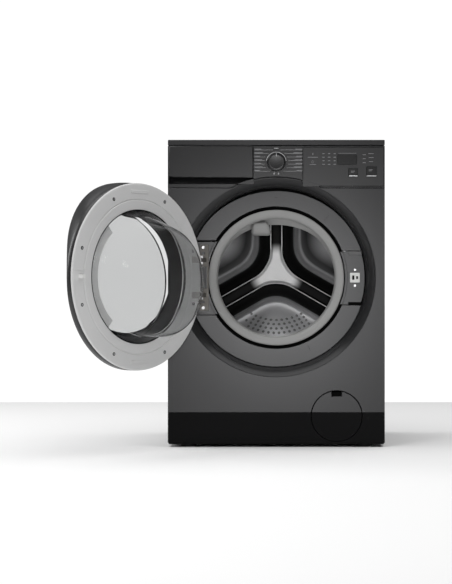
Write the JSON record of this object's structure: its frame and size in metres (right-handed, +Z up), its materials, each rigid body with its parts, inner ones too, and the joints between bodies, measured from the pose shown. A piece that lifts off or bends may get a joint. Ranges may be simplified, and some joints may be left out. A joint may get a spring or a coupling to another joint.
{
  "type": "front load washing machine",
  "caption": "Freestanding front load washing machine with an open round glass door, detergent drawer, programme knob, display panel and sprung tub and drum.",
  "frame": {"origin": "centre of the four feet's pattern, on the floor", "axes": "+X to the right seen from the front, +Y to the back, +Z up"},
  "size_m": [0.8398, 0.985, 0.85],
  "materials": {
    "cabinet_paint": "satin",
    "graphite_plastic": "satin",
    "plinth_plastic": "matt",
    "gloss_black": "gloss",
    "light_plastic": "fine matt",
    "seal_rubber": "matt",
    "black_rubber": "matt",
    "bowl_glass": "clear",
    "clear_cover": "clear",
    "stainless": "brushed",
    "zinc_steel": "zinc plated",
    "cast_aluminium": "cast",
    "tub_plastic": "moulded",
    "iron_weight": "cast",
    "board_green": "lacquered",
    "motor_paint": "painted",
    "siphon_blue": "gloss"
  },
  "bodies": {
    "cabinet": {"base_tray": "plinth_plastic", "side_panel_left": "cabinet_paint", "side_panel_right": "cabinet_paint", "rear_panel": "cabinet_paint", "service_cover": "cabinet_paint", "front_panel": "cabinet_paint", "plinth": "plinth_plastic", "control_panel": "graphite_plastic", "display_window": "gloss_black", "worktop": "graphite_plastic", "top_braces": "zinc_steel", "dispenser_housing": "light_plastic", "inlet_valve": "light_plastic", "inlet_hose": "black_rubber", "drain_hoses": "black_rubber", "drain_pump": "plinth_plastic", "filter_housing": "plinth_plastic", "door_lock": "light_plastic", "hinge_bracket": "zinc_steel", "door_gasket": "seal_rubber", "control_board": "board_green", "damper_cylinders": "plinth_plastic", "suspension_springs": "zinc_steel", "cabinet_screws": "stainless"},
    "tub": {"tub_front": "tub_plastic", "tub_rear": "tub_plastic", "upper_weight": "iron_weight", "front_weight": "iron_weight", "heater": "stainless", "drum_bearings": "zinc_steel", "motor": "motor_paint", "drive_belt": "black_rubber", "damper_rods": "zinc_steel", "gasket_clamp": "stainless"},
    "drum": {"drum_shell": "stainless", "drum_back": "stainless", "drum_lifters": "light_plastic", "drum_spider": "cast_aluminium", "drum_shaft": "zinc_steel", "drum_pulley": "cast_aluminium"},
    "motor_rotor": {"motor_pulley": "zinc_steel"},
    "door": {"door_outer_shell": "graphite_plastic", "door_inner_frame": "light_plastic", "door_bowl": "bowl_glass", "door_window_cover": "clear_cover", "door_screws": "stainless", "door_hinge_lugs": "zinc_steel"},
    "latch": {"latch_hook": "light_plastic"},
    "drawer": {"drawer_front": "graphite_plastic", "drawer_tray": "light_plastic", "siphon_caps": "siphon_blue"},
    "knob": {"programme_knob": "graphite_plastic"},
    "start_button": {"button_start": "gloss_black"},
    "option_button": {"button_option": "gloss_black"},
    "flap": {"filter_flap": "plinth_plastic"},
    "plug": {"filter_plug": "plinth_plastic"},
    "foot_fl": {"foot_front_left": "black_rubber"},
    "foot_fr": {"foot_front_right": "black_rubber"},
    "foot_rl": {"foot_rear_left": "black_rubber"},
    "foot_rr": {"foot_rear_right": "black_rubber"}
  },
  "joints": [
    {"name": "door_hinge", "type": "hinge", "parent": "cabinet", "child": "door", "pos_m": [-0.2411, -0.3013, 0.469], "axis": [0, 0, 1], "range_deg": [0, 129.67]},
    {"name": "latch_pivot", "type": "hinge", "parent": "door", "child": "latch", "pos_m": [-0.50751, -0.6794, 0.469], "axis": [0, 0, 1], "range_deg": [0, 8], "stiffness_Nm_per_rad": 0.05},
    {"name": "tub_bounce", "type": "slide", "parent": "cabinet", "child": "tub", "axis": [0, 0, 1], "range_m": [-0.015, 0.004], "stiffness_N_per_m": 16000, "springref_m": 0.03, "deforming": ["suspension_springs", "door_gasket", "drain_hoses"]},
    {"name": "drum_spin", "type": "hinge", "parent": "tub", "child": "drum", "pos_m": [0, 0, 0.49], "axis": [0, 1, 0], "continuous": true},
    {"name": "motor_spin", "type": "hinge", "parent": "tub", "child": "motor_rotor", "pos_m": [-0.11, 0.15, 0.15], "axis": [0, 1, 0], "continuous": true},
    {"name": "drawer_slide", "type": "slide", "parent": "cabinet", "child": "drawer", "axis": [0, -1, 0], "range_m": [0, 0.19]},
    {"name": "knob_turn", "type": "hinge", "parent": "cabinet", "child": "knob", "pos_m": [0, -0.29, 0.788], "axis": [0, -1, 0], "continuous": true},
    {"name": "start_press", "type": "slide", "parent": "cabinet", "child": "start_button", "axis": [0, 1, 0], "range_m": [0, 0.0015], "stiffness_N_per_m": 400},
    {"name": "option_press", "type": "slide", "parent": "cabinet", "child": "option_button", "axis": [0, 1, 0], "range_m": [0, 0.0015], "stiffness_N_per_m": 400},
    {"name": "flap_hinge", "type": "hinge", "parent": "cabinet", "child": "flap", "pos_m": [0.1004, -0.2785, 0.086], "axis": [0, 0, -1], "range_deg": [0, 60]},
    {"name": "plug_turn", "type": "hinge", "parent": "cabinet", "child": "plug", "pos_m": [0.167, -0.2, 0.086], "axis": [0, -1, 0], "range_deg": [-90, 0]},
    {"name": "foot_fl_turn", "type": "hinge", "parent": "cabinet", "child": "foot_fl", "pos_m": [-0.245, -0.22, 0.02], "axis": [0, 0, 1], "continuous": true},
    {"name": "foot_fr_turn", "type": "hinge", "parent": "cabinet", "child": "foot_fr", "pos_m": [0.245, -0.22, 0.02], "axis": [0, 0, 1], "continuous": true},
    {"name": "foot_rl_turn", "type": "hinge", "parent": "cabinet", "child": "foot_rl", "pos_m": [-0.245, 0.22, 0.02], "axis": [0, 0, 1], "continuous": true},
    {"name": "foot_rr_turn", "type": "hinge", "parent": "cabinet", "child": "foot_rr", "pos_m": [0.245, 0.22, 0.02], "axis": [0, 0, 1], "continuous": true}
  ],
  "couplings": [
    {"joint": "motor_spin", "follows": "drum_spin", "ratio": 13.182}
  ]
}
